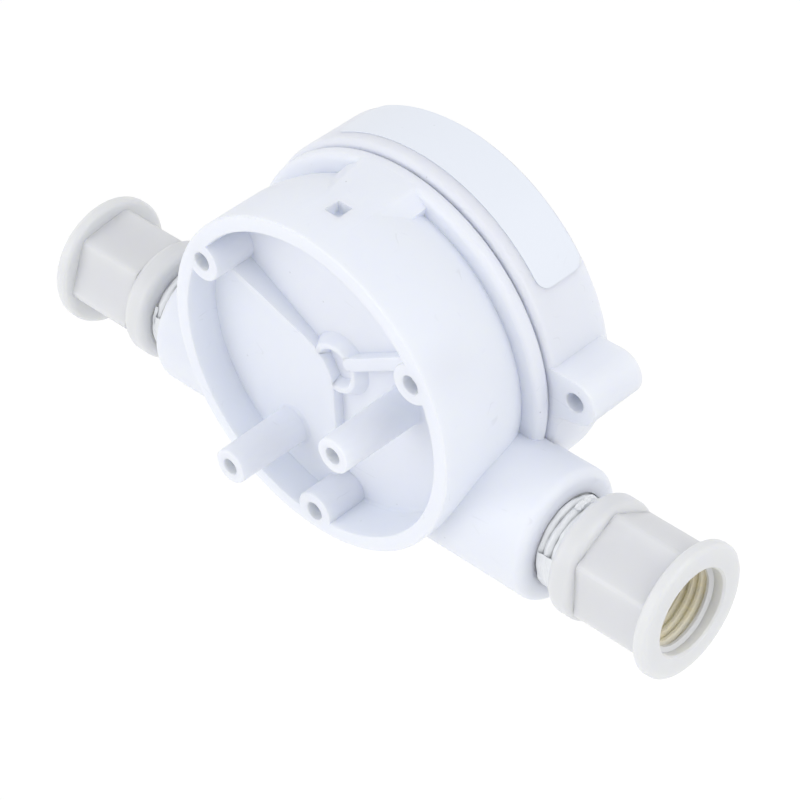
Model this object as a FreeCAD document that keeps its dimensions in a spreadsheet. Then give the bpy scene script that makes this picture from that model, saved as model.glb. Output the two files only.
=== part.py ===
import FreeCAD, Part
import Sketcher
import math
import os

# In-line flow indicator. Millimetres and degrees. X runs along the flow, +Y to
# the back, +Z up. Y = 0 is the back plane of the bezel ring and of its ears, and
# the Y axis is the axis of rotor, window and bezel.

doc = FreeCAD.newDocument("flow_indicator")
sheet = doc.addObject("Spreadsheet::Sheet", "sheet")


class Size:
    """A number together with the expression that gives it in the document."""

    def __init__(self, value, text):
        self.value = value
        self.text = text

    def __add__(self, other):
        other = as_size(other)
        return Size(self.value + other.value, "(%s + %s)" % (self.text, other.text))

    def __sub__(self, other):
        other = as_size(other)
        return Size(self.value - other.value, "(%s - %s)" % (self.text, other.text))

    def __mul__(self, other):
        other = as_size(other)
        return Size(self.value * other.value, "(%s * %s)" % (self.text, other.text))

    def __truediv__(self, other):
        other = as_size(other)
        return Size(self.value / other.value, "(%s / %s)" % (self.text, other.text))

    def __neg__(self):
        return Size(-self.value, "(-1 * %s)" % self.text)


def as_size(number):
    """Take a plain number as a size."""
    if isinstance(number, Size):
        return number
    return Size(number, "(%s)" % number)


def sine(angle):
    """Sine of an angle in degrees."""
    return Size(math.sin(math.radians(angle.value)), "sin(%s)" % angle.text)


def cosine(angle):
    """Cosine of an angle in degrees."""
    return Size(math.cos(math.radians(angle.value)), "cos(%s)" % angle.text)


def root(number):
    """Square root."""
    return Size(math.sqrt(number.value), "sqrt(%s)" % number.text)


rows = []


def cell(alias, value):
    """Put one size into the sheet and give it back bound to its alias."""
    rows.append(alias)
    line = len(rows)
    sheet.set("A%d" % line, alias)
    sheet.set("B%d" % line, str(value))
    sheet.setAlias("B%d" % line, alias)
    return Size(value, "sheet." + alias)


# Fits and gaps
running_gap = cell("running_gap", 0.05)
turning_gap = cell("turning_gap", 0.3)
face_gap = cell("face_gap", 0.2)
seal_gap = cell("seal_gap", 0.01)

# Chamber, spigot and bayonet
chamber_radius = cell("chamber_radius", 21.0)
chamber_depth = cell("chamber_depth", 10.6)
spigot_wall = cell("spigot_wall", 4.2)
spigot_reach = cell("spigot_reach", 5.9)
lug_height = cell("lug_height", 1.0)
lug_width = cell("lug_width", 4.0)
lug_thickness = cell("lug_thickness", 1.6)
lug_count = cell("lug_count", 6)
hook_thickness = cell("hook_thickness", 1.6)

# Bezel ring
ring_wall = cell("ring_wall", 1.7)
lip_thickness = cell("lip_thickness", 1.6)
window_lip = cell("window_lip", 5.9)
ring_round = cell("ring_round", 0.7)
ring_back_round = cell("ring_back_round", 1.0)
ear_bite = cell("ear_bite", 1.3)
ear_offset = cell("ear_offset", 3.4)
ear_radius = cell("ear_radius", 3.6)
ear_setback = cell("ear_setback", 1.5)
ear_hole_radius = cell("ear_hole_radius", 1.5)

# Label
label_thickness = cell("label_thickness", 0.12)
label_width = cell("label_width", 8.5)
label_edge = cell("label_edge", 0.6)
label_centre_angle = cell("label_centre_angle", 102)
label_span_angle = cell("label_span_angle", 88)

# Flange, neck and rear wall
flange_gap = cell("flange_gap", 0.3)
flange_thickness = cell("flange_thickness", 2.5)
flange_inset = cell("flange_inset", 0.7)
flange_round = cell("flange_round", 1.0)
neck_wall = cell("neck_wall", 3.5)
neck_flare = cell("neck_flare", 1.7)
neck_length = cell("neck_length", 7.2)
wall_thickness = cell("wall_thickness", 2.4)
back_wall = cell("back_wall", 1.9)
cavity_depth = cell("cavity_depth", 7.1)
corner_round = cell("corner_round", 0.6)
rim_round = cell("rim_round", 0.35)

# Floor steps, bosses and posts
plateau_rise = cell("plateau_rise", 1.75)
plateau_inset = cell("plateau_inset", 0.4)
tip_round = cell("tip_round", 7.0)
gusset_start = cell("gusset_start", 6.0)
gusset_rise = cell("gusset_rise", 4.0)
gusset_half = cell("gusset_half", 0.5)
rib_half = cell("rib_half", 1.0)
rib_start = cell("rib_start", 3.3)
rib_aside = cell("rib_aside", 0.45)
seat_dish = cell("seat_dish", 2.5)
seat_bank = cell("seat_bank", 0.6)
seat_land = cell("seat_land", 0.8)
seat_apron = cell("seat_apron", 1.1)
seat_round = cell("seat_round", 0.4)
boss_angle = cell("boss_angle", 30)
boss_radius = cell("boss_radius", 3.1)
boss_inset = cell("boss_inset", 0.1)
boss_hole_radius = cell("boss_hole_radius", 1.4)
boss_hole_depth = cell("boss_hole_depth", 7.0)
boss_count = cell("boss_count", 3)
post_radius = cell("post_radius", 2.9)
post_rise = cell("post_rise", 7.4)
post_draft_angle = cell("post_draft_angle", 0.6)
post_round = cell("post_round", 0.3)
post_foot = cell("post_foot", 0.5)
post_hole_radius = cell("post_hole_radius", 1.25)
post_hole_depth = cell("post_hole_depth", 9.0)
low_post_x = cell("low_post_x", 8.9)
low_post_drop = cell("low_post_drop", 15.0)
side_post_x = cell("side_post_x", 12.2)
side_post_drop = cell("side_post_drop", 0.6)

# Wedge pad and latch socket
wedge_end_angle = cell("wedge_end_angle", 16.5)
wedge_ridge_angle = cell("wedge_ridge_angle", 10.5)
wedge_tail_angle = cell("wedge_tail_angle", 8)
wedge_foot = cell("wedge_foot", 0.6)
socket_side = cell("socket_side", 2.7)
socket_rise = cell("socket_rise", 1.0)
socket_web = cell("socket_web", 0.5)

# Ports
flow_inset = cell("flow_inset", 4.3)
flow_offset = cell("flow_offset", 6.4)
nozzle_radius = cell("nozzle_radius", 3.5)
port_radius = cell("port_radius", 10.2)
port_reach = cell("port_reach", 8.1)
port_round = cell("port_round", 1.5)
port_bore_radius = cell("port_bore_radius", 6.8)
bore_land = cell("bore_land", 0.8)
port_mouth = cell("port_mouth", 1.2)
bezel_relief = cell("bezel_relief", 0.5)

# Adapters and tape
stub_shortfall = cell("stub_shortfall", 0.2)
stub_bore_radius = cell("stub_bore_radius", 4.0)
tape_thickness = cell("tape_thickness", 0.4)
tape_length = cell("tape_length", 3.7)
collar_radius = cell("collar_radius", 9.2)
collar_length = cell("collar_length", 4.1)
collar_round = cell("collar_round", 1.2)
hex_corner_radius = cell("hex_corner_radius", 9.0)
hex_trim = cell("hex_trim", 0.25)
hex_length = cell("hex_length", 11.9)
adapter_flange_radius = cell("adapter_flange_radius", 10.25)
adapter_flange_length = cell("adapter_flange_length", 2.1)
adapter_flange_round = cell("adapter_flange_round", 0.7)
adapter_thread_radius = cell("adapter_thread_radius", 6.58)
adapter_thread_length = cell("adapter_thread_length", 13.6)
adapter_mouth = cell("adapter_mouth", 0.3)
inlet_hex_angle = cell("inlet_hex_angle", 52)
outlet_hex_angle = cell("outlet_hex_angle", 32)

# Lens and seal
lens_flange = cell("lens_flange", 3.9)
lens_window = cell("lens_window", 1.4)
window_gap = cell("window_gap", 0.4)
skirt_gap = cell("skirt_gap", 0.15)
skirt_wall = cell("skirt_wall", 3.45)
skirt_reach = cell("skirt_reach", 3.5)
window_core = cell("window_core", 1.7)
groove_land = cell("groove_land", 0.9)
groove_width = cell("groove_width", 1.7)
seal_cord = cell("seal_cord", 1.6)

# Rotor and pin
pin_radius = cell("pin_radius", 1.2)
pin_chamfer = cell("pin_chamfer", 0.25)
pin_boss_radius = cell("pin_boss_radius", 3.2)
pin_boss_rise = cell("pin_boss_rise", 0.9)
pin_boss_gap = cell("pin_boss_gap", 1.0)
pin_seat_depth = cell("pin_seat_depth", 1.9)
pin_lens_depth = cell("pin_lens_depth", 3.0)
hub_radius = cell("hub_radius", 4.6)
hub_end_gap = cell("hub_end_gap", 0.4)
web_thickness = cell("web_thickness", 1.2)
web_inset = cell("web_inset", 6.5)
vane_tip_gap = cell("vane_tip_gap", 3.5)
vane_thickness = cell("vane_thickness", 2.0)
vane_inset = cell("vane_inset", 1.2)
vane_count = cell("vane_count", 6)

# Derived sizes
spigot_radius = chamber_radius + spigot_wall
lug_radius = spigot_radius + lug_height
ring_inner = lug_radius + turning_gap
hook_radius = spigot_radius + turning_gap
ring_radius = ring_inner + ring_wall
lug_back = hook_thickness + face_gap
lens_front = spigot_reach + lens_flange
ring_front = lens_front + face_gap / 2 + lip_thickness
window_radius = lug_radius - window_lip
flange_radius = ring_radius - flange_inset
flange_back = flange_gap + flange_thickness
neck_radius = chamber_radius + neck_wall
wall_radius = neck_radius + neck_flare
neck_top = flange_back + neck_length
rim_inner = wall_radius - wall_thickness
floor_y = chamber_depth + back_wall
rim_y = floor_y + cavity_depth
plateau_y = floor_y + plateau_rise
socket_depth = wall_thickness - socket_web
boss_circle = wall_radius - boss_radius - boss_inset
flow_y = chamber_depth - flow_inset
flow_drop = chamber_radius - flow_offset
port_half = ring_radius + port_reach
relief_radius = ring_radius + bezel_relief
bore_rise = flow_drop - port_bore_radius
bore_end = root(relief_radius * relief_radius - bore_rise * bore_rise) + bore_land
ear_circle = ring_radius + ear_offset
port_crest = flow_drop - root(port_radius * port_radius - flow_y * flow_y)
ear_sine = (port_crest - ear_radius - turning_gap) / ear_circle
ear_cosine = root(as_size(1) - ear_sine * ear_sine)
stub_radius = port_bore_radius - tape_thickness - running_gap
stub_end = bore_end + stub_shortfall
collar_start = port_half + tape_length
hex_start = collar_start + collar_length
hex_end = hex_start + hex_length
adapter_end = hex_end + adapter_flange_length
skirt_radius = chamber_radius - skirt_gap
seal_radius = seal_cord / 2
groove_radius = chamber_radius - seal_cord
pin_boss_face = chamber_depth - pin_boss_rise
rotor_radius = chamber_radius - vane_tip_gap

THROUGH = as_size(1)
QUARTER = as_size(90)
NIL = as_size(0)
PLATEAU_STEPS = 6
HEX_SIDES = 6
HEX_STEP = QUARTER * 4 / HEX_SIDES


def new_body(name):
    """Start a piece."""
    body = doc.addObject("PartDesign::Body", name)
    body.Label = name
    return body


def new_sketch(body, name, role, offset=(NIL, NIL, NIL)):
    """Start a sketch on an origin plane of the piece, moved by an offset."""
    sketch = body.newObject("Sketcher::SketchObject", name)
    planes = [entry for entry in body.Origin.OriginFeatures if entry.Role == role]
    sketch.AttachmentSupport = [(planes[0], "")]
    sketch.MapMode = "FlatFace"
    shift = FreeCAD.Vector(offset[0].value, offset[1].value, offset[2].value)
    sketch.AttachmentOffset = FreeCAD.Placement(shift, FreeCAD.Rotation())
    for letter, part in zip("xyz", offset):
        if part is not NIL:
            sketch.setExpression("AttachmentOffset.Base." + letter, part.text)
    return sketch


def turn_upright(sketch, angle):
    """Turn an upright sketch about the Y axis, from +X towards +Z."""
    base = sketch.AttachmentOffset.Base
    sketch.AttachmentOffset = FreeCAD.Placement(
        base, FreeCAD.Rotation(FreeCAD.Vector(0, -1, 0), angle.value))
    sketch.setExpression("AttachmentOffset.Rotation.Angle", angle.text)


def pin_point(sketch, geometry, position, x, y):
    """Tie one point of a sketch to its two sizes."""
    for kind, part, axis in (("DistanceX", x, -2), ("DistanceY", y, -1)):
        if part is None:
            continue
        if part is NIL:
            sketch.addConstraint(Sketcher.Constraint("PointOnObject", geometry, position, axis))
            continue
        number = sketch.addConstraint(
            Sketcher.Constraint(kind, -1, 1, geometry, position, part.value))
        sketch.setExpression("Constraints[%d]" % number, part.text)


def outline(sketch, points, arcs=None):
    """Draw a closed outline. An arc is listed by its segment as centre, sense and pinned axis."""
    arcs = arcs or {}
    count = len(points)
    ends = []
    for index in range(count):
        first = FreeCAD.Vector(points[index][0].value, points[index][1].value, 0)
        second_point = points[(index + 1) % count]
        second = FreeCAD.Vector(second_point[0].value, second_point[1].value, 0)
        if index in arcs:
            centre, forward = arcs[index][0], arcs[index][1]
            middle = FreeCAD.Vector(centre[0].value, centre[1].value, 0)
            start, stop = (first, second) if forward else (second, first)
            circle = Part.Circle(middle, FreeCAD.Vector(0, 0, 1), (start - middle).Length)
            begin = math.atan2(start.y - middle.y, start.x - middle.x)
            finish = math.atan2(stop.y - middle.y, stop.x - middle.x)
            geometry = sketch.addGeometry(Part.ArcOfCircle(circle, begin, finish), False)
            ends.append((geometry, 1, 2) if forward else (geometry, 2, 1))
        else:
            geometry = sketch.addGeometry(Part.LineSegment(first, second), False)
            ends.append((geometry, 1, 2))
    for index in range(count):
        following = ends[(index + 1) % count]
        sketch.addConstraint(Sketcher.Constraint(
            "Coincident", ends[index][0], ends[index][2], following[0], following[1]))
    for index in range(count):
        pin_point(sketch, ends[index][0], ends[index][1], points[index][0], points[index][1])
    for index in arcs:
        centre, pinned = arcs[index][0], arcs[index][2]
        x = centre[0] if "x" in pinned else None
        y = centre[1] if "y" in pinned else None
        pin_point(sketch, ends[index][0], 3, x, y)
    return sketch


def circle_at(sketch, x, y, radius):
    """Draw a circle tied to its centre and radius."""
    centre = FreeCAD.Vector(x.value, y.value, 0)
    circle = Part.Circle(centre, FreeCAD.Vector(0, 0, 1), radius.value)
    geometry = sketch.addGeometry(circle, False)
    pin_point(sketch, geometry, 3, x, y)
    number = sketch.addConstraint(Sketcher.Constraint("Radius", geometry, radius.value))
    sketch.setExpression("Constraints[%d]" % number, radius.text)
    return sketch


def feature(body, kind, name, sketch):
    """Add a sketch-based feature and make it the tip."""
    made = body.newObject("PartDesign::" + kind, name)
    made.Profile = sketch
    sketch.Visibility = False
    body.Tip = made
    return made


def turned(body, kind, name, sketch, axis="V_Axis"):
    """Revolve or groove a sketch right round one of its own axes."""
    made = feature(body, kind, name, sketch)
    made.ReferenceAxis = (sketch, [axis])
    made.Angle = 360
    doc.recompute()
    return made


def swept(body, kind, name, sketch, axis, angle):
    """Revolve a sketch by an angle, half to each side."""
    made = feature(body, kind, name, sketch)
    made.ReferenceAxis = (sketch, [axis])
    made.Midplane = True
    made.Angle = angle.value
    made.setExpression("Angle", angle.text)
    doc.recompute()
    return made


def straight(body, kind, name, sketch, length, backward=False, both=False):
    """Pad or pocket a sketch by a length."""
    made = feature(body, kind, name, sketch)
    made.Type = "Length"
    if both:
        made.SideType = "Symmetric"
    made.Reversed = backward
    made.Length = length.value
    made.setExpression("Length", length.text)
    doc.recompute()
    return made


def repeated(body, name, original, sketch, count):
    """Repeat a feature evenly round the normal of a sketch."""
    made = body.newObject("PartDesign::PolarPattern", name)
    made.Originals = [original]
    made.Axis = (sketch, ["N_Axis"])
    made.Angle = 360
    made.Occurrences = int(count.value)
    made.setExpression("Occurrences", count.text)
    body.Tip = made
    doc.recompute()
    return made


def rounded(body, name, base, wanted, radius):
    """Fillet the edges of a feature that the test picks."""
    picked = []
    for index, edge in enumerate(base.Shape.Edges):
        if wanted(edge):
            picked.append("Edge%d" % (index + 1))
    if not picked:
        raise RuntimeError("no edge found for " + name)
    made = body.newObject("PartDesign::Fillet", name)
    made.Base = (base, picked)
    made.Radius = radius.value
    made.setExpression("Radius", radius.text)
    body.Tip = made
    doc.recompute()
    return made


def circle_edge(radius, test):
    """Make a test for full circular edges of a radius."""
    def wanted(edge):
        if not isinstance(edge.Curve, Part.Circle):
            return False
        return abs(edge.Curve.Radius - radius.value) < 1e-4 and test(edge.Curve.Center)
    return wanted


# Flow body
flow_body = new_body("flow_body")
shell_sketch = new_sketch(flow_body, "shell_sketch", "XY_Plane")
neck_bow = (neck_flare * neck_flare + neck_length * neck_length) / (neck_flare * 2)
outline(shell_sketch, [
    (NIL, -spigot_reach),
    (spigot_radius, -spigot_reach),
    (spigot_radius, flange_gap),
    (flange_radius, flange_gap),
    (flange_radius, flange_back),
    (neck_radius, flange_back),
    (wall_radius, neck_top),
    (wall_radius, rim_y),
    (NIL, rim_y),
], {5: ((wall_radius - neck_bow, neck_top), True, "y")})
shell = turned(flow_body, "Revolution", "shell", shell_sketch)
flange_edges = rounded(flow_body, "flange_edges", shell, circle_edge(
    flange_radius, lambda centre: True), flange_round)

port_sketch = new_sketch(flow_body, "port_sketch", "YZ_Plane")
circle_at(port_sketch, flow_y, -flow_drop, port_radius)
ports = straight(flow_body, "Pad", "ports", port_sketch, port_half * 2, both=True)
port_edges = rounded(flow_body, "port_edges", ports, circle_edge(
    port_radius, lambda centre: abs(abs(centre.x) - port_half.value) < 1e-4), port_round)

relief_sketch = new_sketch(flow_body, "relief_sketch", "XY_Plane")
outline(relief_sketch, [
    (spigot_radius, -spigot_reach - THROUGH),
    (relief_radius, -spigot_reach - THROUGH),
    (relief_radius, flange_gap),
    (spigot_radius, flange_gap),
])
relief = turned(flow_body, "Groove", "relief", relief_sketch)


def wedge_section(name, y, ridge_angle, top_radius, end_radius):
    """Draw one cross-section of the wedge pad: a crest and two slanting flanks."""
    sketch = new_sketch(flow_body, name, "XZ_Plane", (NIL, NIL, -y))
    low_radius = neck_radius - wedge_foot
    outline(sketch, [
        (-low_radius * sine(wedge_end_angle), low_radius * cosine(wedge_end_angle)),
        (low_radius * sine(wedge_end_angle), low_radius * cosine(wedge_end_angle)),
        (end_radius * sine(wedge_end_angle), end_radius * cosine(wedge_end_angle)),
        (top_radius * sine(ridge_angle), top_radius * cosine(ridge_angle)),
        (-top_radius * sine(ridge_angle), top_radius * cosine(ridge_angle)),
        (-end_radius * sine(wedge_end_angle), end_radius * cosine(wedge_end_angle)),
    ], {3: ((NIL, NIL), True, "y")})
    sketch.Visibility = False
    return sketch


wedge_start = flange_back - flange_thickness / 2
wedge_end = neck_top + wedge_foot
wedge_slope = (flange_radius - wall_radius) / (wedge_end - wedge_start)
wedge_fall = wedge_slope * (floor_y - wedge_start)
wedge_front = wedge_section("wedge_front", wedge_start, wedge_ridge_angle, flange_radius, wall_radius)
wedge_tail = wedge_section("wedge_tail", floor_y, wedge_tail_angle, flange_radius - wedge_fall,
                           wall_radius - wedge_fall)
wedge = feature(flow_body, "AdditiveLoft", "wedge", wedge_front)
wedge.Sections = [wedge_tail]
wedge.Ruled = True
doc.recompute()

lug_sketch = new_sketch(flow_body, "lug_sketch", "XZ_Plane", (NIL, NIL, lug_back))
lug_rise = root(lug_radius * lug_radius - lug_width * lug_width / 4)
outline(lug_sketch, [
    (-lug_width / 2, spigot_radius - lug_height),
    (lug_width / 2, spigot_radius - lug_height),
    (lug_width / 2, lug_rise),
    (-lug_width / 2, lug_rise),
])
lug = straight(flow_body, "Pad", "lug", lug_sketch, lug_thickness)
lugs = repeated(flow_body, "lugs", lug, lug_sketch, lug_count)

chamber_sketch = new_sketch(flow_body, "chamber_sketch", "XY_Plane")
outline(chamber_sketch, [
    (NIL, -spigot_reach - THROUGH),
    (chamber_radius, -spigot_reach - THROUGH),
    (chamber_radius, chamber_depth),
    (pin_boss_radius, chamber_depth),
    (pin_boss_radius, pin_boss_face),
    (NIL, pin_boss_face),
])
chamber = turned(flow_body, "Groove", "chamber", chamber_sketch)

cavity_sketch = new_sketch(flow_body, "cavity_sketch", "XY_Plane")
outline(cavity_sketch, [
    (NIL, floor_y),
    (rim_inner - corner_round, floor_y),
    (rim_inner, floor_y + corner_round),
    (rim_inner, rim_y + THROUGH),
    (NIL, rim_y + THROUGH),
], {1: ((rim_inner - corner_round, floor_y + corner_round), True, "x")})
cavity = turned(flow_body, "Groove", "cavity", cavity_sketch)

seat_lip = seat_dish + seat_bank
seat_crest = seat_lip + seat_land
seat_foot = seat_crest + seat_apron
seat_sketch = new_sketch(flow_body, "seat_sketch", "XY_Plane")
outline(seat_sketch, [
    (seat_dish, floor_y - back_wall / 2),
    (seat_foot, floor_y - back_wall / 2),
    (seat_foot, floor_y),
    (seat_crest, plateau_y),
    (seat_lip, plateau_y),
    (seat_dish, floor_y),
])
seat_ring = turned(flow_body, "Revolution", "seat_ring", seat_sketch)
seat_outside = circle_edge(seat_crest, lambda centre: abs(centre.y - plateau_y.value) < 1e-4)
seat_inside = circle_edge(seat_lip, lambda centre: abs(centre.y - plateau_y.value) < 1e-4)
seat_edges = rounded(flow_body, "seat_edges", seat_ring, lambda edge: (
    seat_outside(edge) or seat_inside(edge)), seat_round)

plateau_sketch = new_sketch(flow_body, "plateau_sketch", "XZ_Plane", (NIL, NIL, -floor_y))
plateau_radius = rim_inner + wall_thickness / 2
tip_x = plateau_inset + tip_round
tip_drop = (tip_x - tip_x * sine(boss_angle)) / cosine(boss_angle)
plateau_points = [(plateau_inset, -tip_drop), (plateau_inset, -plateau_radius)]
for step in range(1, PLATEAU_STEPS):
    turn = -QUARTER + (boss_angle + QUARTER) * step / PLATEAU_STEPS
    plateau_points.append((plateau_radius * cosine(turn), plateau_radius * sine(turn)))
plateau_points.append((
    plateau_radius * cosine(boss_angle) + plateau_inset * sine(boss_angle),
    plateau_radius * sine(boss_angle) - plateau_inset * cosine(boss_angle)))
plateau_points.append((
    tip_x - tip_round * sine(boss_angle), tip_round * cosine(boss_angle) - tip_drop))
outline(plateau_sketch, plateau_points, {PLATEAU_STEPS + 2: ((tip_x, -tip_drop), True, "x")})
plateau = straight(flow_body, "Pad", "plateau", plateau_sketch, plateau_rise, backward=True)

gusset_aside = plateau_inset + gusset_half
gusset_sketch = new_sketch(flow_body, "gusset_sketch", "XY_Plane", (
    gusset_aside * sine(boss_angle), NIL, -gusset_aside * cosine(boss_angle)))
turn_upright(gusset_sketch, boss_angle)
outline(gusset_sketch, [
    (gusset_start, floor_y),
    (boss_circle, floor_y),
    (boss_circle, floor_y + gusset_rise),
    (gusset_start, plateau_y),
])
gusset = straight(flow_body, "Pad", "gusset", gusset_sketch, gusset_half * 2, both=True)

rib_angle = QUARTER * 2 - boss_angle
rib_sketch = new_sketch(flow_body, "rib_sketch", "XZ_Plane", (NIL, NIL, -floor_y))


def rib_point(along, aside):
    """Point of the rib, by its way from the axis and its way up from the boss line."""
    return (along * cosine(rib_angle) + aside * sine(rib_angle),
            along * sine(rib_angle) - aside * cosine(rib_angle))


outline(rib_sketch, [
    rib_point(rib_start, rib_aside + rib_half),
    rib_point(rib_start, rib_aside - rib_half),
    rib_point(boss_circle, rib_aside - rib_half),
    rib_point(boss_circle, rib_aside + rib_half),
], {0: (rib_point(rib_start, rib_aside), False, "x")})
rib = straight(flow_body, "Pad", "rib", rib_sketch, plateau_rise, backward=True)

boss_sketch = new_sketch(flow_body, "boss_sketch", "XZ_Plane", (NIL, NIL, -floor_y))
circle_at(boss_sketch, boss_circle * cosine(boss_angle), boss_circle * sine(boss_angle), boss_radius)
boss = straight(flow_body, "Pad", "boss", boss_sketch, cavity_depth, backward=True)
bosses = repeated(flow_body, "bosses", boss, boss_sketch, boss_count)

post_sketch = new_sketch(flow_body, "post_sketch", "XZ_Plane", (NIL, NIL, -floor_y))
circle_at(post_sketch, low_post_x, -low_post_drop, post_radius)
circle_at(post_sketch, -side_post_x, -side_post_drop, post_radius)
posts = feature(flow_body, "Pad", "posts", post_sketch)
posts.Reversed = True
posts.setExpression("Length", (cavity_depth + post_rise).text)
posts.setExpression("TaperAngle", (-post_draft_angle).text)
doc.recompute()


def post_ring(x, z, y):
    """Make a test for a circular edge round a post at one height."""
    def wanted(edge):
        if not isinstance(edge.Curve, Part.Circle):
            return False
        away = edge.Curve.Center - FreeCAD.Vector(x.value, y.value, z.value)
        return away.Length < 1e-3 and edge.Curve.Radius > post_radius.value / 2
    return wanted


low_post_foot = post_ring(low_post_x, -low_post_drop, plateau_y)
side_post_foot = post_ring(-side_post_x, -side_post_drop, floor_y)
post_feet = rounded(flow_body, "post_feet", posts, lambda edge: (
    low_post_foot(edge) or side_post_foot(edge)), post_foot)
low_post_end = post_ring(low_post_x, -low_post_drop, rim_y + post_rise)
side_post_end = post_ring(-side_post_x, -side_post_drop, rim_y + post_rise)
post_ends = rounded(flow_body, "post_ends", post_feet, lambda edge: (
    low_post_end(edge) or side_post_end(edge)), post_round)

boss_hole_sketch = new_sketch(flow_body, "boss_hole_sketch", "XZ_Plane", (NIL, NIL, -rim_y))
circle_at(boss_hole_sketch, boss_circle * cosine(boss_angle), boss_circle * sine(boss_angle),
          boss_hole_radius)
boss_hole = straight(flow_body, "Pocket", "boss_hole", boss_hole_sketch, boss_hole_depth, backward=True)
boss_holes = repeated(flow_body, "boss_holes", boss_hole, boss_hole_sketch, boss_count)

post_hole_sketch = new_sketch(flow_body, "post_hole_sketch", "XZ_Plane",
                              (NIL, NIL, -(rim_y + post_rise)))
circle_at(post_hole_sketch, low_post_x, -low_post_drop, post_hole_radius)
circle_at(post_hole_sketch, -side_post_x, -side_post_drop, post_hole_radius)
post_holes = straight(flow_body, "Pocket", "post_holes", post_hole_sketch, post_hole_depth, backward=True)

socket_sketch = new_sketch(flow_body, "socket_sketch", "XY_Plane",
                           (NIL, NIL, wall_radius - socket_depth))
socket_base = neck_top + wedge_foot
outline(socket_sketch, [
    (-socket_side / 2, socket_base),
    (socket_side / 2, socket_base),
    (socket_side / 2, socket_base + socket_side),
    (-socket_side / 2, socket_base + socket_side),
])
latch_socket = straight(flow_body, "Pocket", "latch_socket", socket_sketch,
                        socket_depth + socket_rise, backward=True)

bore_sketch = new_sketch(flow_body, "bore_sketch", "XY_Plane", (NIL, flow_y, -flow_drop))
outline(bore_sketch, [
    (-port_half, NIL),
    (-port_half, port_bore_radius + port_mouth),
    (-(port_half - port_mouth), port_bore_radius),
    (-bore_end, port_bore_radius),
    (-bore_end, nozzle_radius),
    (bore_end, nozzle_radius),
    (bore_end, port_bore_radius),
    (port_half - port_mouth, port_bore_radius),
    (port_half, port_bore_radius + port_mouth),
    (port_half, NIL),
])
bore = turned(flow_body, "Groove", "bore", bore_sketch, "H_Axis")

pin_hole_sketch = new_sketch(flow_body, "pin_hole_sketch", "XZ_Plane", (NIL, NIL, -pin_boss_face))
circle_at(pin_hole_sketch, NIL, NIL, pin_radius)
pin_hole = straight(flow_body, "Pocket", "pin_hole", pin_hole_sketch, pin_seat_depth)
rim_edges = rounded(flow_body, "rim_edges", pin_hole, circle_edge(
    wall_radius, lambda centre: abs(centre.y - rim_y.value) < 1e-4), rim_round)

# Bezel ring
bezel_ring = new_body("bezel_ring")
bezel_sketch = new_sketch(bezel_ring, "bezel_sketch", "XY_Plane")
outline(bezel_sketch, [
    (window_radius, -ring_front),
    (ring_radius, -ring_front),
    (ring_radius, NIL),
    (ring_inner, NIL),
    (ring_inner, -(ring_front - lip_thickness)),
    (window_radius, -(ring_front - lip_thickness)),
])
bezel = turned(bezel_ring, "Revolution", "bezel", bezel_sketch)
bezel_edges = rounded(bezel_ring, "bezel_edges", bezel, circle_edge(
    ring_radius, lambda centre: abs(centre.y + ring_front.value) < 1e-4), ring_round)
bezel_back = rounded(bezel_ring, "bezel_back", bezel_edges, circle_edge(
    ring_radius, lambda centre: abs(centre.y) < 1e-4), ring_back_round)

hook_sketch = new_sketch(bezel_ring, "hook_sketch", "XZ_Plane")
outline(hook_sketch, [
    (-lug_width / 2, hook_radius),
    (lug_width / 2, hook_radius),
    (lug_width / 2, ring_inner + ring_wall / 2),
    (-lug_width / 2, ring_inner + ring_wall / 2),
])
hook = straight(bezel_ring, "Pad", "hook", hook_sketch, hook_thickness)
hooks = repeated(bezel_ring, "hooks", hook, hook_sketch, lug_count)

ear_root = ring_radius - ear_bite
ear_wide = port_crest - turning_gap - ear_root * ear_sine
ear_sketch = new_sketch(bezel_ring, "ear_sketch", "XZ_Plane")
outline(ear_sketch, [
    (-ear_circle * ear_cosine - ear_radius * ear_sine,
     ear_circle * ear_sine - ear_radius * ear_cosine),
    (-ear_root * ear_cosine - ear_wide * ear_sine, ear_root * ear_sine - ear_wide * ear_cosine),
    (-ear_root * ear_cosine + ear_wide * ear_sine, ear_root * ear_sine + ear_wide * ear_cosine),
    (-ear_circle * ear_cosine + ear_radius * ear_sine,
     ear_circle * ear_sine + ear_radius * ear_cosine),
], {3: ((-ear_circle * ear_cosine, ear_circle * ear_sine), True, "x")})
ear = straight(bezel_ring, "Pad", "ear", ear_sketch, ring_front - ear_setback)
ears = repeated(bezel_ring, "ears", ear, ear_sketch, as_size(2))
ear_hole_sketch = new_sketch(bezel_ring, "ear_hole_sketch", "XZ_Plane")
circle_at(ear_hole_sketch, -ear_circle * ear_cosine, ear_circle * ear_sine, ear_hole_radius)
circle_at(ear_hole_sketch, ear_circle * ear_cosine, -ear_circle * ear_sine, ear_hole_radius)
ear_holes = straight(bezel_ring, "Pocket", "ear_holes", ear_hole_sketch, ring_front, backward=True)

# Label
label = new_body("label")
label_sketch = new_sketch(label, "label_sketch", "XY_Plane")
turn_upright(label_sketch, label_centre_angle)
label_front = ring_front - label_edge
outline(label_sketch, [
    (ring_radius, -label_front),
    (ring_radius + label_thickness, -label_front),
    (ring_radius + label_thickness, -(label_front - label_width)),
    (ring_radius, -(label_front - label_width)),
])
label_wrap = swept(label, "Revolution", "label_wrap", label_sketch, "V_Axis", label_span_angle)

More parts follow.
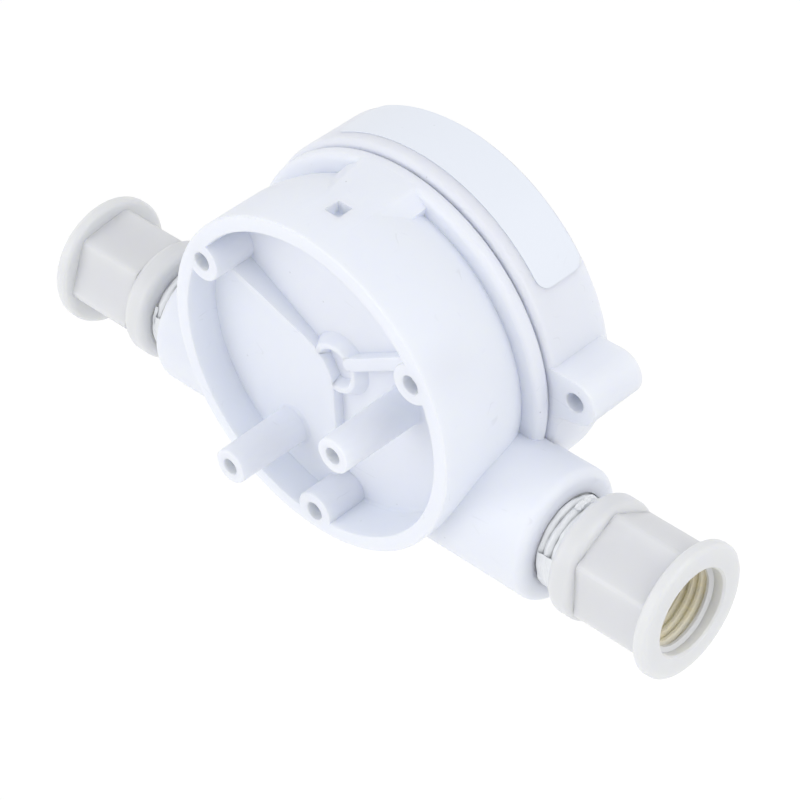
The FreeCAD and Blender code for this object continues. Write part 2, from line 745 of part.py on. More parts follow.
# Lens
lens = new_body("lens")
lens_sketch = new_sketch(lens, "lens_sketch", "XY_Plane")
window_face = lens_front + lens_window
window_back = spigot_reach + window_core
groove_front = spigot_reach - groove_land
skirt_inner = skirt_radius - skirt_wall
outline(lens_sketch, [
    (NIL, -window_face),
    (window_radius - window_gap, -window_face),
    (window_radius - window_gap, -lens_front),
    (lug_radius - face_gap, -lens_front),
    (lug_radius - face_gap, -spigot_reach),
    (skirt_radius, -spigot_reach),
    (skirt_radius, -groove_front),
    (groove_radius, -groove_front),
    (groove_radius, -(groove_front - groove_width)),
    (skirt_radius, -(groove_front - groove_width)),
    (skirt_radius, -(spigot_reach - skirt_reach)),
    (skirt_inner, -(spigot_reach - skirt_reach)),
    (skirt_inner, -window_back),
    (pin_boss_radius, -window_back),
    (pin_boss_radius, -pin_boss_gap),
    (pin_radius + running_gap, -pin_boss_gap),
    (pin_radius + running_gap, -(pin_boss_gap + pin_lens_depth)),
    (NIL, -(pin_boss_gap + pin_lens_depth)),
])
lens_turned = turned(lens, "Revolution", "lens_turned", lens_sketch)

# Lens seal
lens_oring = new_body("lens_oring")
oring_sketch = new_sketch(lens_oring, "oring_sketch", "XY_Plane")
circle_at(oring_sketch, chamber_radius - seal_radius, -(groove_front - groove_width / 2),
          seal_radius - seal_gap)
oring_turned = turned(lens_oring, "Revolution", "oring_turned", oring_sketch)

# Rotor
rotor = new_body("rotor")
hub_sketch = new_sketch(rotor, "hub_sketch", "XY_Plane")
hub_back = pin_boss_face - hub_end_gap
hub_front = pin_boss_gap - hub_end_gap
web_middle = (hub_back - hub_front) / 2
web_radius = rotor_radius - web_inset
bore_radius = pin_radius + running_gap
outline(hub_sketch, [
    (bore_radius, -hub_front),
    (hub_radius, -hub_front),
    (hub_radius, web_middle - web_thickness / 2),
    (web_radius, web_middle - web_thickness / 2),
    (web_radius, web_middle + web_thickness / 2),
    (hub_radius, web_middle + web_thickness / 2),
    (hub_radius, hub_back),
    (bore_radius, hub_back),
])
hub = turned(rotor, "Revolution", "hub", hub_sketch)
vane_sketch = new_sketch(rotor, "vane_sketch", "XZ_Plane", (NIL, NIL, -(hub_back - vane_inset / 2)))
vane_root = (bore_radius + hub_radius) / 2
outline(vane_sketch, [
    (vane_root, -vane_thickness / 2),
    (rotor_radius, -vane_thickness / 2),
    (rotor_radius, vane_thickness / 2),
    (vane_root, vane_thickness / 2),
])
vane = straight(rotor, "Pad", "vane", vane_sketch, hub_back + hub_front - vane_inset)
vanes = repeated(rotor, "vanes", vane, vane_sketch, vane_count)

# Rotor pin
rotor_pin = new_body("rotor_pin")
pin_sketch = new_sketch(rotor_pin, "pin_sketch", "XY_Plane")
pin_back = pin_boss_face + pin_seat_depth
pin_front = pin_boss_gap + pin_lens_depth - face_gap
outline(pin_sketch, [
    (NIL, -pin_front),
    (pin_radius - pin_chamfer, -pin_front),
    (pin_radius, -(pin_front - pin_chamfer)),
    (pin_radius, pin_back - pin_chamfer),
    (pin_radius - pin_chamfer, pin_back),
    (NIL, pin_back),
])
pin_turned = turned(rotor_pin, "Revolution", "pin_turned", pin_sketch)


def on_flow_axis(body):
    """Move a piece drawn about the X axis onto the flow axis."""
    body.Placement = FreeCAD.Placement(
        FreeCAD.Vector(0, flow_y.value, -flow_drop.value), FreeCAD.Rotation())
    body.setExpression("Placement.Base.y", flow_y.text)
    body.setExpression("Placement.Base.z", (-flow_drop).text)


def build_adapter(name, side, hex_angle):
    """Draw one port adapter on its side of the body."""
    body = new_body(name)
    core = new_sketch(body, name + "_core", "XY_Plane")
    mouth_radius = adapter_thread_radius + adapter_mouth
    thread_end = adapter_end - adapter_thread_length
    grip_radius = hex_corner_radius - hex_trim
    stations = [
        (stub_end, stub_bore_radius),
        (stub_end, stub_radius),
        (collar_start, stub_radius),
        (collar_start, collar_radius - collar_round),
        (collar_start + collar_round, collar_radius),
        (hex_start - collar_round, collar_radius),
        (hex_start, collar_radius - collar_round),
        (hex_start, grip_radius),
        (hex_end, grip_radius),
        (hex_end, adapter_flange_radius - adapter_flange_round),
        (hex_end + adapter_flange_round, adapter_flange_radius),
        (adapter_end - adapter_flange_round, adapter_flange_radius),
        (adapter_end, adapter_flange_radius - adapter_flange_round),
        (adapter_end, mouth_radius),
        (adapter_end - adapter_mouth, adapter_thread_radius),
        (thread_end, adapter_thread_radius),
        (thread_end, stub_bore_radius),
    ]
    rounds = {
        3: (collar_start + collar_round, collar_radius - collar_round),
        5: (hex_start - collar_round, collar_radius - collar_round),
        9: (hex_end + adapter_flange_round, adapter_flange_radius - adapter_flange_round),
        11: (adapter_end - adapter_flange_round, adapter_flange_radius - adapter_flange_round),
    }
    arcs = {}
    for place in rounds:
        arcs[place] = ((rounds[place][0] * side, rounds[place][1]), side < 0, "x")
    outline(core, [(along * side, radius) for along, radius in stations], arcs)
    turned(body, "Revolution", name + "_turned", core, "H_Axis")
    hexagon = new_sketch(body, name + "_hex", "YZ_Plane", (NIL, NIL, hex_start * side))
    corners = []
    for corner in range(HEX_SIDES):
        angle = hex_angle + HEX_STEP * corner
        corners.append((hex_corner_radius * cosine(angle), hex_corner_radius * sine(angle)))
    outline(hexagon, corners)
    circle_at(hexagon, NIL, NIL, adapter_flange_radius)
    straight(body, "Pocket", name + "_grip", hexagon, hex_length, backward=side > 0)
    on_flow_axis(body)
    return body


def build_tape(name, side):
    """Draw the sealing tape on one male thread."""
    body = new_body(name)
    wrap = new_sketch(body, name + "_wrap", "XY_Plane")
    outline(wrap, [
        (stub_end * side, stub_radius),
        (stub_end * side, stub_radius + tape_thickness),
        (collar_start * side, stub_radius + tape_thickness),
        (collar_start * side, stub_radius),
    ])
    turned(body, "Revolution", name + "_turned", wrap, "H_Axis")
    on_flow_axis(body)
    return body


inlet_adapter = build_adapter("inlet_adapter", 1, inlet_hex_angle)
outlet_adapter = build_adapter("outlet_adapter", -1, outlet_hex_angle)
inlet_tape = build_tape("inlet_tape", 1)
outlet_tape = build_tape("outlet_tape", -1)

doc.recompute()

pieces = [flow_body, bezel_ring, label, lens, lens_oring, rotor, rotor_pin,
          inlet_adapter, outlet_adapter, inlet_tape, outlet_tape]
for entry in doc.Objects:
    if "Invalid" in entry.State or "Error" in entry.State:
        raise RuntimeError("not recomputed: " + entry.Name)
os.makedirs("parts", exist_ok=True)
for piece in pieces:
    shape = piece.Shape
    if shape.isNull() or not shape.isValid() or len(shape.Solids) != 1:
        raise RuntimeError("bad shape: " + piece.Label)
    shape.exportStep("parts/" + piece.Label + ".step")
    box = shape.BoundBox
    print(piece.Label, round(shape.Volume, 1), [round(number, 2) for number in (
        box.XMin, box.XMax, box.YMin, box.YMax, box.ZMin, box.ZMax)])
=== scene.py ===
import math

import bmesh
import bpy
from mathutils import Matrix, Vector, noise


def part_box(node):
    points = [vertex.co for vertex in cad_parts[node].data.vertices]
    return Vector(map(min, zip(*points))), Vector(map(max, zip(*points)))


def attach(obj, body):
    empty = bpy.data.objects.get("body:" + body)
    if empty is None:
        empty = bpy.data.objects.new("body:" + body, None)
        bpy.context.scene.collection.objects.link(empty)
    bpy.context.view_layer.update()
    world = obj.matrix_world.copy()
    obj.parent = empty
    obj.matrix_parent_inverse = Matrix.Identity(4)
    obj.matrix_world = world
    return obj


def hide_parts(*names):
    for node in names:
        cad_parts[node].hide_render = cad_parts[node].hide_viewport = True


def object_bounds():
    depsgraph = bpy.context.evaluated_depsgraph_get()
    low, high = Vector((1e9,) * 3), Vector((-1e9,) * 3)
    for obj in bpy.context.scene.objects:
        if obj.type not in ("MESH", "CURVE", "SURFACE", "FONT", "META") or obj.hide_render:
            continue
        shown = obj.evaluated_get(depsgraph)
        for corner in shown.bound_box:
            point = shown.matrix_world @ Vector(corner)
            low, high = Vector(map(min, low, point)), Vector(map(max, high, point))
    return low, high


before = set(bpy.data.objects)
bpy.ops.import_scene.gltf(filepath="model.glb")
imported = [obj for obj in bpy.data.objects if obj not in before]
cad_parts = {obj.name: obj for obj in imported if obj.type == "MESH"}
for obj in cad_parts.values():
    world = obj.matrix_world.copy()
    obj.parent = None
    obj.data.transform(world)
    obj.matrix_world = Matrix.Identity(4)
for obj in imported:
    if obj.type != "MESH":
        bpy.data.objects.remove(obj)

bl_info = {
    "name": "Flow Indicator",
    "version": (1, 0, 0),
    "blender": (4, 5, 0),
    "location": "View3D > Sidebar > Flow Indicator",
    "description": "Dresses the packed flow indicator: plastics, tape, threads, label and studio",
    "category": "Object",
}

CAD_BOX = [list(corner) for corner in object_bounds()]
MM = 0.001

# The flow axis runs along X through FLOW_Y and FLOW_Z, the ring's axis along Y through the origin
INLET_LOW, INLET_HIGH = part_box("inlet_adapter")
FLOW_Y = (INLET_LOW.y + INLET_HIGH.y) / 2
FLOW_Z = (INLET_LOW.z + INLET_HIGH.z) / 2
LABEL_LOW, LABEL_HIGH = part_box("label")
RING_LOW, RING_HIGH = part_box("bezel_ring")
BODY_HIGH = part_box("flow_body")[1]

# Places on the solids that vertices and edges are picked by, levels to within PICK
PICK = 0.005 * MM
RIM_LEVEL = 19.6 * MM
STEP_LEVEL = 14.25 * MM
OPENING_REACH = 24.2 * MM
EAR_FRONT_LEVEL = -10.0 * MM
EAR_REACH = 28.0 * MM
FLANGE_FACE, FLANGE_SIDE = 0.3 * MM, 1.3 * MM
FLANGE_INNER, FLANGE_OUTER = 25.1 * MM, 27.6 * MM
PORT_LEAD_REACH = 8.3 * MM
HEX_START = 41.0 * MM

# How the copies of the solids are merged, rounded and shaded
MERGE_GAP = 0.002 * MM
FLAT_ANGLE = math.radians(1)
SHARP_ANGLE = math.radians(50)
SMOOTH_ANGLE = math.radians(32)

# How finely the new pieces are stepped
LABEL_CUTS = 64
THREAD_STEPS = 56
WINDING_STEPS = 120
RIDGE_STEPS = 14
FILM_STEPS = (36, 10)

SCATTER_DEPTH = 3.0 * MM


class LabelShape(bpy.types.PropertyGroup):
    """Sizes of the bare label on the ring."""
    radius: bpy.props.FloatProperty(
        name="Radius", description="Ring radius that carries the label",
        default=28.2 * MM, unit="LENGTH")
    thickness: bpy.props.FloatProperty(
        name="Thickness", description="Film thickness", default=0.11 * MM, unit="LENGTH")
    clearance: bpy.props.FloatProperty(
        name="Clearance", description="Room between ring and film",
        default=0.005 * MM, unit="LENGTH")
    corner: bpy.props.FloatProperty(
        name="Corner", description="Radius of the rounded corners",
        default=2.0 * MM, unit="LENGTH")
    centre: bpy.props.FloatProperty(
        name="Centre", description="Angle of the label's middle, from +X towards +Z",
        default=math.radians(102), subtype="ANGLE")
    sweep: bpy.props.FloatProperty(
        name="Sweep", description="Angle that the label covers",
        default=math.radians(88), subtype="ANGLE")
    colour: bpy.props.FloatVectorProperty(
        name="Colour", description="Film colour",
        default=(0.82, 0.86, 0.94), subtype="COLOR", size=3)


class PlasticLook(bpy.types.PropertyGroup):
    """Colours of the plastics, the seal and the pin."""
    body: bpy.props.FloatVectorProperty(
        name="Body", description="Colour of the moulded body and ring",
        default=(0.82, 0.85, 0.93), subtype="COLOR", size=3)
    adapter: bpy.props.FloatVectorProperty(
        name="Adapter", description="Colour of the natural adapter plastic",
        default=(0.74, 0.75, 0.775), subtype="COLOR", size=3)
    # The bore colour is painted light: a warmer, lighter glow standing in for light through the
    # adapters' milky walls
    bore: bpy.props.FloatVectorProperty(
        name="Bore", description="Colour deep in the adapters' bores",
        default=(0.95, 0.88, 0.66), subtype="COLOR", size=3)
    rotor: bpy.props.FloatVectorProperty(
        name="Rotor", description="Colour of the paddle wheel",
        default=(0.1, 0.105, 0.115), subtype="COLOR", size=3)
    lens: bpy.props.FloatVectorProperty(
        name="Lens", description="Tint of the clear window",
        default=(0.98, 0.99, 0.985), subtype="COLOR", size=3)
    seal: bpy.props.FloatVectorProperty(
        name="Seal", description="Colour of the window's rubber seal",
        default=(0.02, 0.02, 0.02), subtype="COLOR", size=3)
    pin: bpy.props.FloatVectorProperty(
        name="Pin", description="Colour of the rotor's ceramic pin",
        default=(0.83, 0.81, 0.76), subtype="COLOR", size=3)


class MouldedShape(bpy.types.PropertyGroup):
    """Small shapes on the body and the ring."""
    edge: bpy.props.FloatProperty(
        name="Edge", description="Round on the open moulded edges",
        default=0.22 * MM, unit="LENGTH")
    mouth: bpy.props.FloatProperty(
        name="Mouth", description="Radius of each port's mouth round the tape",
        default=6.9 * MM, unit="LENGTH")
    seam: bpy.props.FloatProperty(
        name="Seam", description="How far the flange's front round is drawn towards the ring",
        default=0.22 * MM, unit="LENGTH")


class ThreadShape(bpy.types.PropertyGroup):
    """Sizes of the pipe threads in the adapters."""
    pitch: bpy.props.FloatProperty(
        name="Pitch", description="Thread pitch", default=1.337 * MM, unit="LENGTH")
    major: bpy.props.FloatProperty(
        name="Major Radius", description="Root radius of the female thread",
        default=6.58 * MM, unit="LENGTH")
    minor: bpy.props.FloatProperty(
        name="Minor Radius", description="Crest radius of the female thread",
        default=5.98 * MM, unit="LENGTH")
    setback: bpy.props.FloatProperty(
        name="Setback", description="Room between the adapter's mouth and the first turn",
        default=1.7 * MM, unit="LENGTH")
    turns: bpy.props.IntProperty(
        name="Turns", description="Turns in each adapter", default=8, min=1)


class TapeShape(bpy.types.PropertyGroup):
    """Sizes of the sealing tape on the male threads."""
    film: bpy.props.FloatProperty(
        name="Film", description="Film thickness", default=0.07 * MM, unit="LENGTH")
    ridge: bpy.props.FloatProperty(
        name="Ridge", description="How far the thread shows through the winding",
        default=0.4 * MM, unit="LENGTH")
    crumple: bpy.props.FloatProperty(
        name="Crumple", description="Depth of the folds in the film",
        default=0.16 * MM, unit="LENGTH")
    lift: bpy.props.FloatProperty(
        name="Lift", description="How far the loose end stands off",
        default=0.8 * MM, unit="LENGTH")


class StudioLook(bpy.types.PropertyGroup):
    """Camera, floor and lamps."""
    lens: bpy.props.FloatProperty(
        name="Lens", description="Focal length of the camera in millimetres", default=131.687)
    camera_place: bpy.props.FloatVectorProperty(
        name="Camera Place", description="Where the camera stands",
        default=(-0.22666, 0.22852, 0.25737), subtype="TRANSLATION", size=3)
    camera_turn: bpy.props.FloatVectorProperty(
        name="Camera Turn", description="How the camera is turned",
        default=(0.86909, 0.02545, -2.37832), subtype="EULER", size=3)
    floor_half: bpy.props.FloatProperty(
        name="Floor Half", description="Half the side of the square floor",
        default=3.0, unit="LENGTH")
    floor_gap: bpy.props.FloatProperty(
        name="Floor Gap", description="Room between the part and the floor",
        default=120 * MM, unit="LENGTH")
    ambient: bpy.props.FloatProperty(
        name="Ambient", description="Strength of the even light", default=0.72, min=0)
    key: bpy.props.FloatProperty(
        name="Key", description="Power of each lamp in watts", default=6.4, min=0)
    key_place: bpy.props.FloatVectorProperty(
        name="Key Place", description="Where the key lamp hangs",
        default=(0.55, 1.25, 0.62), subtype="TRANSLATION", size=3)
    side_place: bpy.props.FloatVectorProperty(
        name="Side Place", description="Where the side lamp hangs",
        default=(-1.05, -0.2, 1.05), subtype="TRANSLATION", size=3)
    lamp_side: bpy.props.FloatProperty(
        name="Lamp Side", description="Side of the square lamps", default=1.2, unit="LENGTH")


def node_group(name, inputs, outputs):
    """Start a shader node group with named sockets."""
    group = bpy.data.node_groups.new(name, "ShaderNodeTree")
    for label, kind, default in inputs:
        socket = group.interface.new_socket(name=label, in_out="INPUT", socket_type=kind)
        if default is not None:
            socket.default_value = default
    for label, kind in outputs:
        group.interface.new_socket(name=label, in_out="OUTPUT", socket_type=kind)
    return group


def add_node(tree, kind, place, **settings):
    """Add a node, place it and set its sockets or properties by name."""
    node = tree.nodes.new(kind)
    node.location = place
    for key, value in settings.items():
        label = key.replace("_", " ")
        if label in node.inputs:
            node.inputs[label].default_value = value
        else:
            setattr(node, key, value)
    return node


def map_range(tree, place, source, low, high, start, end):
    """Map a value from one range to another, held at both ends."""
    node = add_node(tree, "ShaderNodeMapRange", place)
    node.inputs["From Min"].default_value = low
    node.inputs["From Max"].default_value = high
    node.inputs["To Min"].default_value = start
    node.inputs["To Max"].default_value = end
    tree.links.new(source, node.inputs["Value"])
    return node.outputs["Result"]


def times(tree, place, first, second):
    """Multiply a value by a value or by a number."""
    node = add_node(tree, "ShaderNodeMath", place, operation="MULTIPLY")
    tree.links.new(first, node.inputs[0])
    if isinstance(second, float):
        node.inputs[1].default_value = second
    else:
        tree.links.new(second, node.inputs[1])
    return node.outputs[0]


def either_of(tree, place, first, second):
    """Take the larger of two values, so that either of two masks counts."""
    node = add_node(tree, "ShaderNodeMath", place, operation="MAXIMUM")
    tree.links.new(first, node.inputs[0])
    tree.links.new(second, node.inputs[1])
    return node.outputs[0]


def background_rays(tree, column, row):
    """Mask the rays that show the background: from the camera, through glass and by gloss."""
    path = add_node(tree, "ShaderNodeLightPath", (column, row))
    direct = either_of(tree, (column + 200, row), path.outputs["Is Camera Ray"],
                       path.outputs["Is Transmission Ray"])
    return either_of(tree, (column + 400, row), direct, path.outputs["Is Glossy Ray"])


def blend(tree, place, factor, first, second):
    """Blend from one colour to another; either may be a colour or a socket."""
    node = add_node(tree, "ShaderNodeMix", place, data_type="RGBA")
    tree.links.new(factor, node.inputs["Factor"])
    for label, colour in (("A", first), ("B", second)):
        if isinstance(colour, bpy.types.NodeSocket):
            tree.links.new(colour, node.inputs[label])
        else:
            node.inputs[label].default_value = (*colour, 1)
    return node.outputs["Result"]


def moulded_skin_group():
    """Noise that a moulded plastic skin shows: slow tone drift, sheen patches and fine grain."""
    found = bpy.data.node_groups.get("moulded_skin")
    if found:
        return found
    group = node_group("moulded_skin", [
        ("Vector", "NodeSocketVector", None),
        ("Drift Scale", "NodeSocketFloat", 45.0),
        ("Sheen Scale", "NodeSocketFloat", 260.0),
        ("Grain Scale", "NodeSocketFloat", 2600.0),
    ], [("Drift", "NodeSocketFloat"), ("Sheen", "NodeSocketFloat"), ("Grain", "NodeSocketFloat")])
    entry = add_node(group, "NodeGroupInput", (-700, 0))
    leave = add_node(group, "NodeGroupOutput", (300, 0))
    for row, (output, detail) in enumerate((("Drift", 2.0), ("Sheen", 3.0), ("Grain", 2.0))):
        cloud = add_node(group, "ShaderNodeTexNoise", (-350, 250 - 250 * row),
                         Detail=detail, Roughness=0.55)
        group.links.new(entry.outputs["Vector"], cloud.inputs["Vector"])
        group.links.new(entry.outputs[output + " Scale"], cloud.inputs["Scale"])
        group.links.new(cloud.outputs["Fac"], leave.inputs[output])
    return group


def handling_marks_group():
    """Marks of handling: sparse dust specks, and short thin scratches in patches."""
    found = bpy.data.node_groups.get("handling_marks")
    if found:
        return found
    group = node_group("handling_marks", [
        ("Vector", "NodeSocketVector", None),
        ("Speck Scale", "NodeSocketFloat", 620.0),
        ("Speck Share", "NodeSocketFloat", 0.06),
        ("Scratch Scale", "NodeSocketFloat", 160.0),
    ], [("Specks", "NodeSocketFloat"), ("Scratches", "NodeSocketFloat")])
    entry = add_node(group, "NodeGroupInput", (-1400, 0))
    leave = add_node(group, "NodeGroupOutput", (400, 0))
    cells = add_node(group, "ShaderNodeTexVoronoi", (-1100, 200))
    group.links.new(entry.outputs["Vector"], cells.inputs["Vector"])
    group.links.new(entry.outputs["Speck Scale"], cells.inputs["Scale"])
    chance = add_node(group, "ShaderNodeSeparateColor", (-850, 50))
    group.links.new(cells.outputs["Color"], chance.inputs["Color"])
    kept = add_node(group, "ShaderNodeMath", (-600, 50), operation="LESS_THAN")
    group.links.new(chance.outputs["Red"], kept.inputs[0])
    group.links.new(entry.outputs["Speck Share"], kept.inputs[1])
    spot = map_range(group, (-600, 250), cells.outputs["Distance"], 0.04, 0.1, 1.0, 0.0)
    group.links.new(times(group, (-300, 150), spot, kept.outputs[0]), leave.inputs["Specks"])
    stretch = add_node(group, "ShaderNodeMapping", (-1100, -200), Scale=(0.35, 1.0, 1.3))
    stretch.inputs["Rotation"].default_value = (0.3, 0.5, 0.9)
    group.links.new(entry.outputs["Vector"], stretch.inputs["Vector"])
    lines = add_node(group, "ShaderNodeTexNoise", (-850, -200), Detail=1.0)
    group.links.new(stretch.outputs["Vector"], lines.inputs["Vector"])
    group.links.new(entry.outputs["Scratch Scale"], lines.inputs["Scale"])
    middle = add_node(group, "ShaderNodeMath", (-600, -200), operation="SUBTRACT")
    group.links.new(lines.outputs["Fac"], middle.inputs[0])
    middle.inputs[1].default_value = 0.5
    away = add_node(group, "ShaderNodeMath", (-400, -200), operation="ABSOLUTE")
    group.links.new(middle.outputs[0], away.inputs[0])
    thin = map_range(group, (-200, -200), away.outputs[0], 0.004, 0.009, 1.0, 0.0)
    patches = add_node(group, "ShaderNodeTexNoise", (-850, -450), Scale=340.0, Detail=1.0)
    group.links.new(entry.outputs["Vector"], patches.inputs["Vector"])
    some = map_range(group, (-600, -450), patches.outputs["Fac"], 0.6, 0.68, 0.0, 1.0)
    group.links.new(times(group, (150, -300), thin, some), leave.inputs["Scratches"])
    return group


def flow_axis_group():
    """How far a point is from the flow axis, and how far along it from the middle."""
    found = bpy.data.node_groups.get("flow_axis")
    if found:
        return found
    group = node_group("flow_axis", [("Vector", "NodeSocketVector", None)],
                       [("Reach", "NodeSocketFloat"), ("Along", "NodeSocketFloat")])
    entry = add_node(group, "NodeGroupInput", (-1000, 0))
    leave = add_node(group, "NodeGroupOutput", (200, 0))
    centred = add_node(group, "ShaderNodeMapping", (-800, 0))
    centred.inputs["Location"].default_value = (0, -FLOW_Y, -FLOW_Z)
    group.links.new(entry.outputs["Vector"], centred.inputs["Vector"])
    across = add_node(group, "ShaderNodeVectorMath", (-550, 150), operation="MULTIPLY")
    group.links.new(centred.outputs["Vector"], across.inputs[0])
    across.inputs[1].default_value = (0, 1, 1)
    reach = add_node(group, "ShaderNodeVectorMath", (-300, 150), operation="LENGTH")
    group.links.new(across.outputs["Vector"], reach.inputs[0])
    group.links.new(reach.outputs["Value"], leave.inputs["Reach"])
    split = add_node(group, "ShaderNodeSeparateXYZ", (-550, -150))
    group.links.new(centred.outputs["Vector"], split.inputs["Vector"])
    along = add_node(group, "ShaderNodeMath", (-300, -150), operation="ABSOLUTE")
    group.links.new(split.outputs["X"], along.inputs[0])
    group.links.new(along.outputs[0], leave.inputs["Along"])
    return group


def new_material(name):
    """Start a material and give back it, its tree and its surface shader."""
    material = bpy.data.materials.new(name)
    material.use_nodes = True
    tree = material.node_tree
    return material, tree, tree.nodes["Principled BSDF"]


def skin_nodes(tree, shader, colour, roughness, grain, drift):
    """Put the moulded skin on a shader and give back its tone and the object coordinates."""
    place = add_node(tree, "ShaderNodeTexCoord", (-1900, 0))
    skin = add_node(tree, "ShaderNodeGroup", (-1650, 0), node_tree=moulded_skin_group())
    tree.links.new(place.outputs["Object"], skin.inputs["Vector"])
    tone = blend(tree, (-1350, 250), skin.outputs["Drift"],
                 [channel * (1 - drift) for channel in colour], colour)
    rough = map_range(tree, (-1350, 0), skin.outputs["Sheen"],
                      0.0, 1.0, roughness - 0.06, roughness + 0.08)
    tree.links.new(rough, shader.inputs["Roughness"])
    bump = add_node(tree, "ShaderNodeBump", (-350, -250), Strength=grain, Distance=0.02 * MM)
    tree.links.new(skin.outputs["Grain"], bump.inputs["Height"])
    tree.links.new(bump.outputs["Normal"], shader.inputs["Normal"])
    shader.inputs["IOR"].default_value = 1.49
    return tone, place.outputs["Object"]


def let_light_in(shader, weight):
    """Let light scatter under the surface, less far for blue."""
    shader.inputs["Subsurface Weight"].default_value = weight
    shader.inputs["Subsurface Radius"].default_value = (1.0, 1.0, 0.8)
    shader.inputs["Subsurface Scale"].default_value = SCATTER_DEPTH


def moulded_plastic(name, colour, roughness, grain, drift=0.04, marks=0.0, milky=0.0):
    """Moulded plastic with slow tone drift, uneven sheen, a fine grain and marks of handling."""
    material, tree, shader = new_material(name)
    tone, place = skin_nodes(tree, shader, colour, roughness, grain, drift)
    if marks:
        worn = add_node(tree, "ShaderNodeGroup", (-1650, -350), node_tree=handling_marks_group())
        tree.links.new(place, worn.inputs["Vector"])
        dusty = times(tree, (-1050, -300), worn.outputs["Specks"], marks)
        tone = blend(tree, (-850, 250), dusty, tone, [channel * 0.45 for channel in colour])
        scored = times(tree, (-1050, -450), worn.outputs["Scratches"], marks * 0.3)
        tone = blend(tree, (-600, 250), scored, tone, [channel * 0.6 for channel in colour])
    tree.links.new(tone, shader.inputs["Base Color"])
    if milky:
        let_light_in(shader, milky)
    return material


def natural_plastic(name, colour, bore, milky=0.0):
    """Milky natural plastic with a painted glow deep in the bore round the flow axis: a warmer,
    lighter, streaky colour standing in for light that passes through the milky walls and bounces
    round the bore.
    """
    material, tree, shader = new_material(name)
    tone, place = skin_nodes(tree, shader, colour, 0.34, 0.3, 0.07)
    axis = add_node(tree, "ShaderNodeGroup", (-1450, -500), node_tree=flow_axis_group())
    tree.links.new(place, axis.inputs["Vector"])
    # Painted glow: this mask picks the inside of the bore under the hex, where the bore colour
    # stands in for light through the walls
    inside = map_range(tree, (-1050, -400), axis.outputs["Reach"],
                       6.62 * MM, 6.95 * MM, 1.0, 0.0)
    mouth = INLET_HIGH.x
    deep = map_range(tree, (-1050, -650), axis.outputs["Along"],
                     mouth - 3.2 * MM, mouth - 2.2 * MM, 1.0, 0.06)
    in_hex = map_range(tree, (-1050, -780), axis.outputs["Along"],
                       HEX_START, HEX_START + 2.0 * MM, 0.0, 1.0)
    streak = add_node(tree, "ShaderNodeMapping", (-1450, -900), Scale=(160.0, 900.0, 900.0))
    tree.links.new(place, streak.inputs["Vector"])
    smear = add_node(tree, "ShaderNodeTexNoise", (-1250, -900),
                     Scale=1.0, Detail=4.0, Roughness=0.6)
    tree.links.new(streak.outputs["Vector"], smear.inputs["Vector"])
    uneven = map_range(tree, (-1050, -900), smear.outputs["Fac"], 0.3, 0.7, 0.55, 1.0)
    in_bore = times(tree, (-850, -400), inside, in_hex)
    # Painted glow: how strongly the lighter bore colour is blended in, deep in the bore and streaky
    painted_bore_glow = times(tree, (-650, -500), times(tree, (-850, -650), in_bore, deep), uneven)
    tree.links.new(blend(tree, (-600, 250), painted_bore_glow, tone, bore), shader.inputs["Base Color"])
    if milky:
        let_light_in(shader, milky)
    return material


def clear_plastic(name, colour):
    """Polished clear plastic with faint moulding swirls in its sheen, which lets all light in."""
    material, tree, shader = new_material(name)
    place = add_node(tree, "ShaderNodeTexCoord", (-900, 0))
    skin = add_node(tree, "ShaderNodeGroup", (-650, 0), node_tree=moulded_skin_group())
    tree.links.new(place.outputs["Object"], skin.inputs["Vector"])
    rough = map_range(tree, (-350, 0), skin.outputs["Sheen"], 0.0, 1.0, 0.02, 0.07)
    tree.links.new(rough, shader.inputs["Roughness"])
    shader.inputs["Base Color"].default_value = (*colour, 1)
    shader.inputs["Transmission Weight"].default_value = 1.0
    shader.inputs["IOR"].default_value = 1.58
    path = add_node(tree, "ShaderNodeLightPath", (-700, 400))
    see_through(tree, shader, either_of(
        tree, (-500, 400), path.outputs["Is Shadow Ray"], path.outputs["Is Diffuse Ray"]))
    return material


def see_through(tree, shader, mask):
    """Make a surface fully clear where a mask is one."""
    tree.links.new(map_range(tree, (-250, 400), mask, 0.0, 1.0, 1.0, 0.0), shader.inputs["Alpha"])


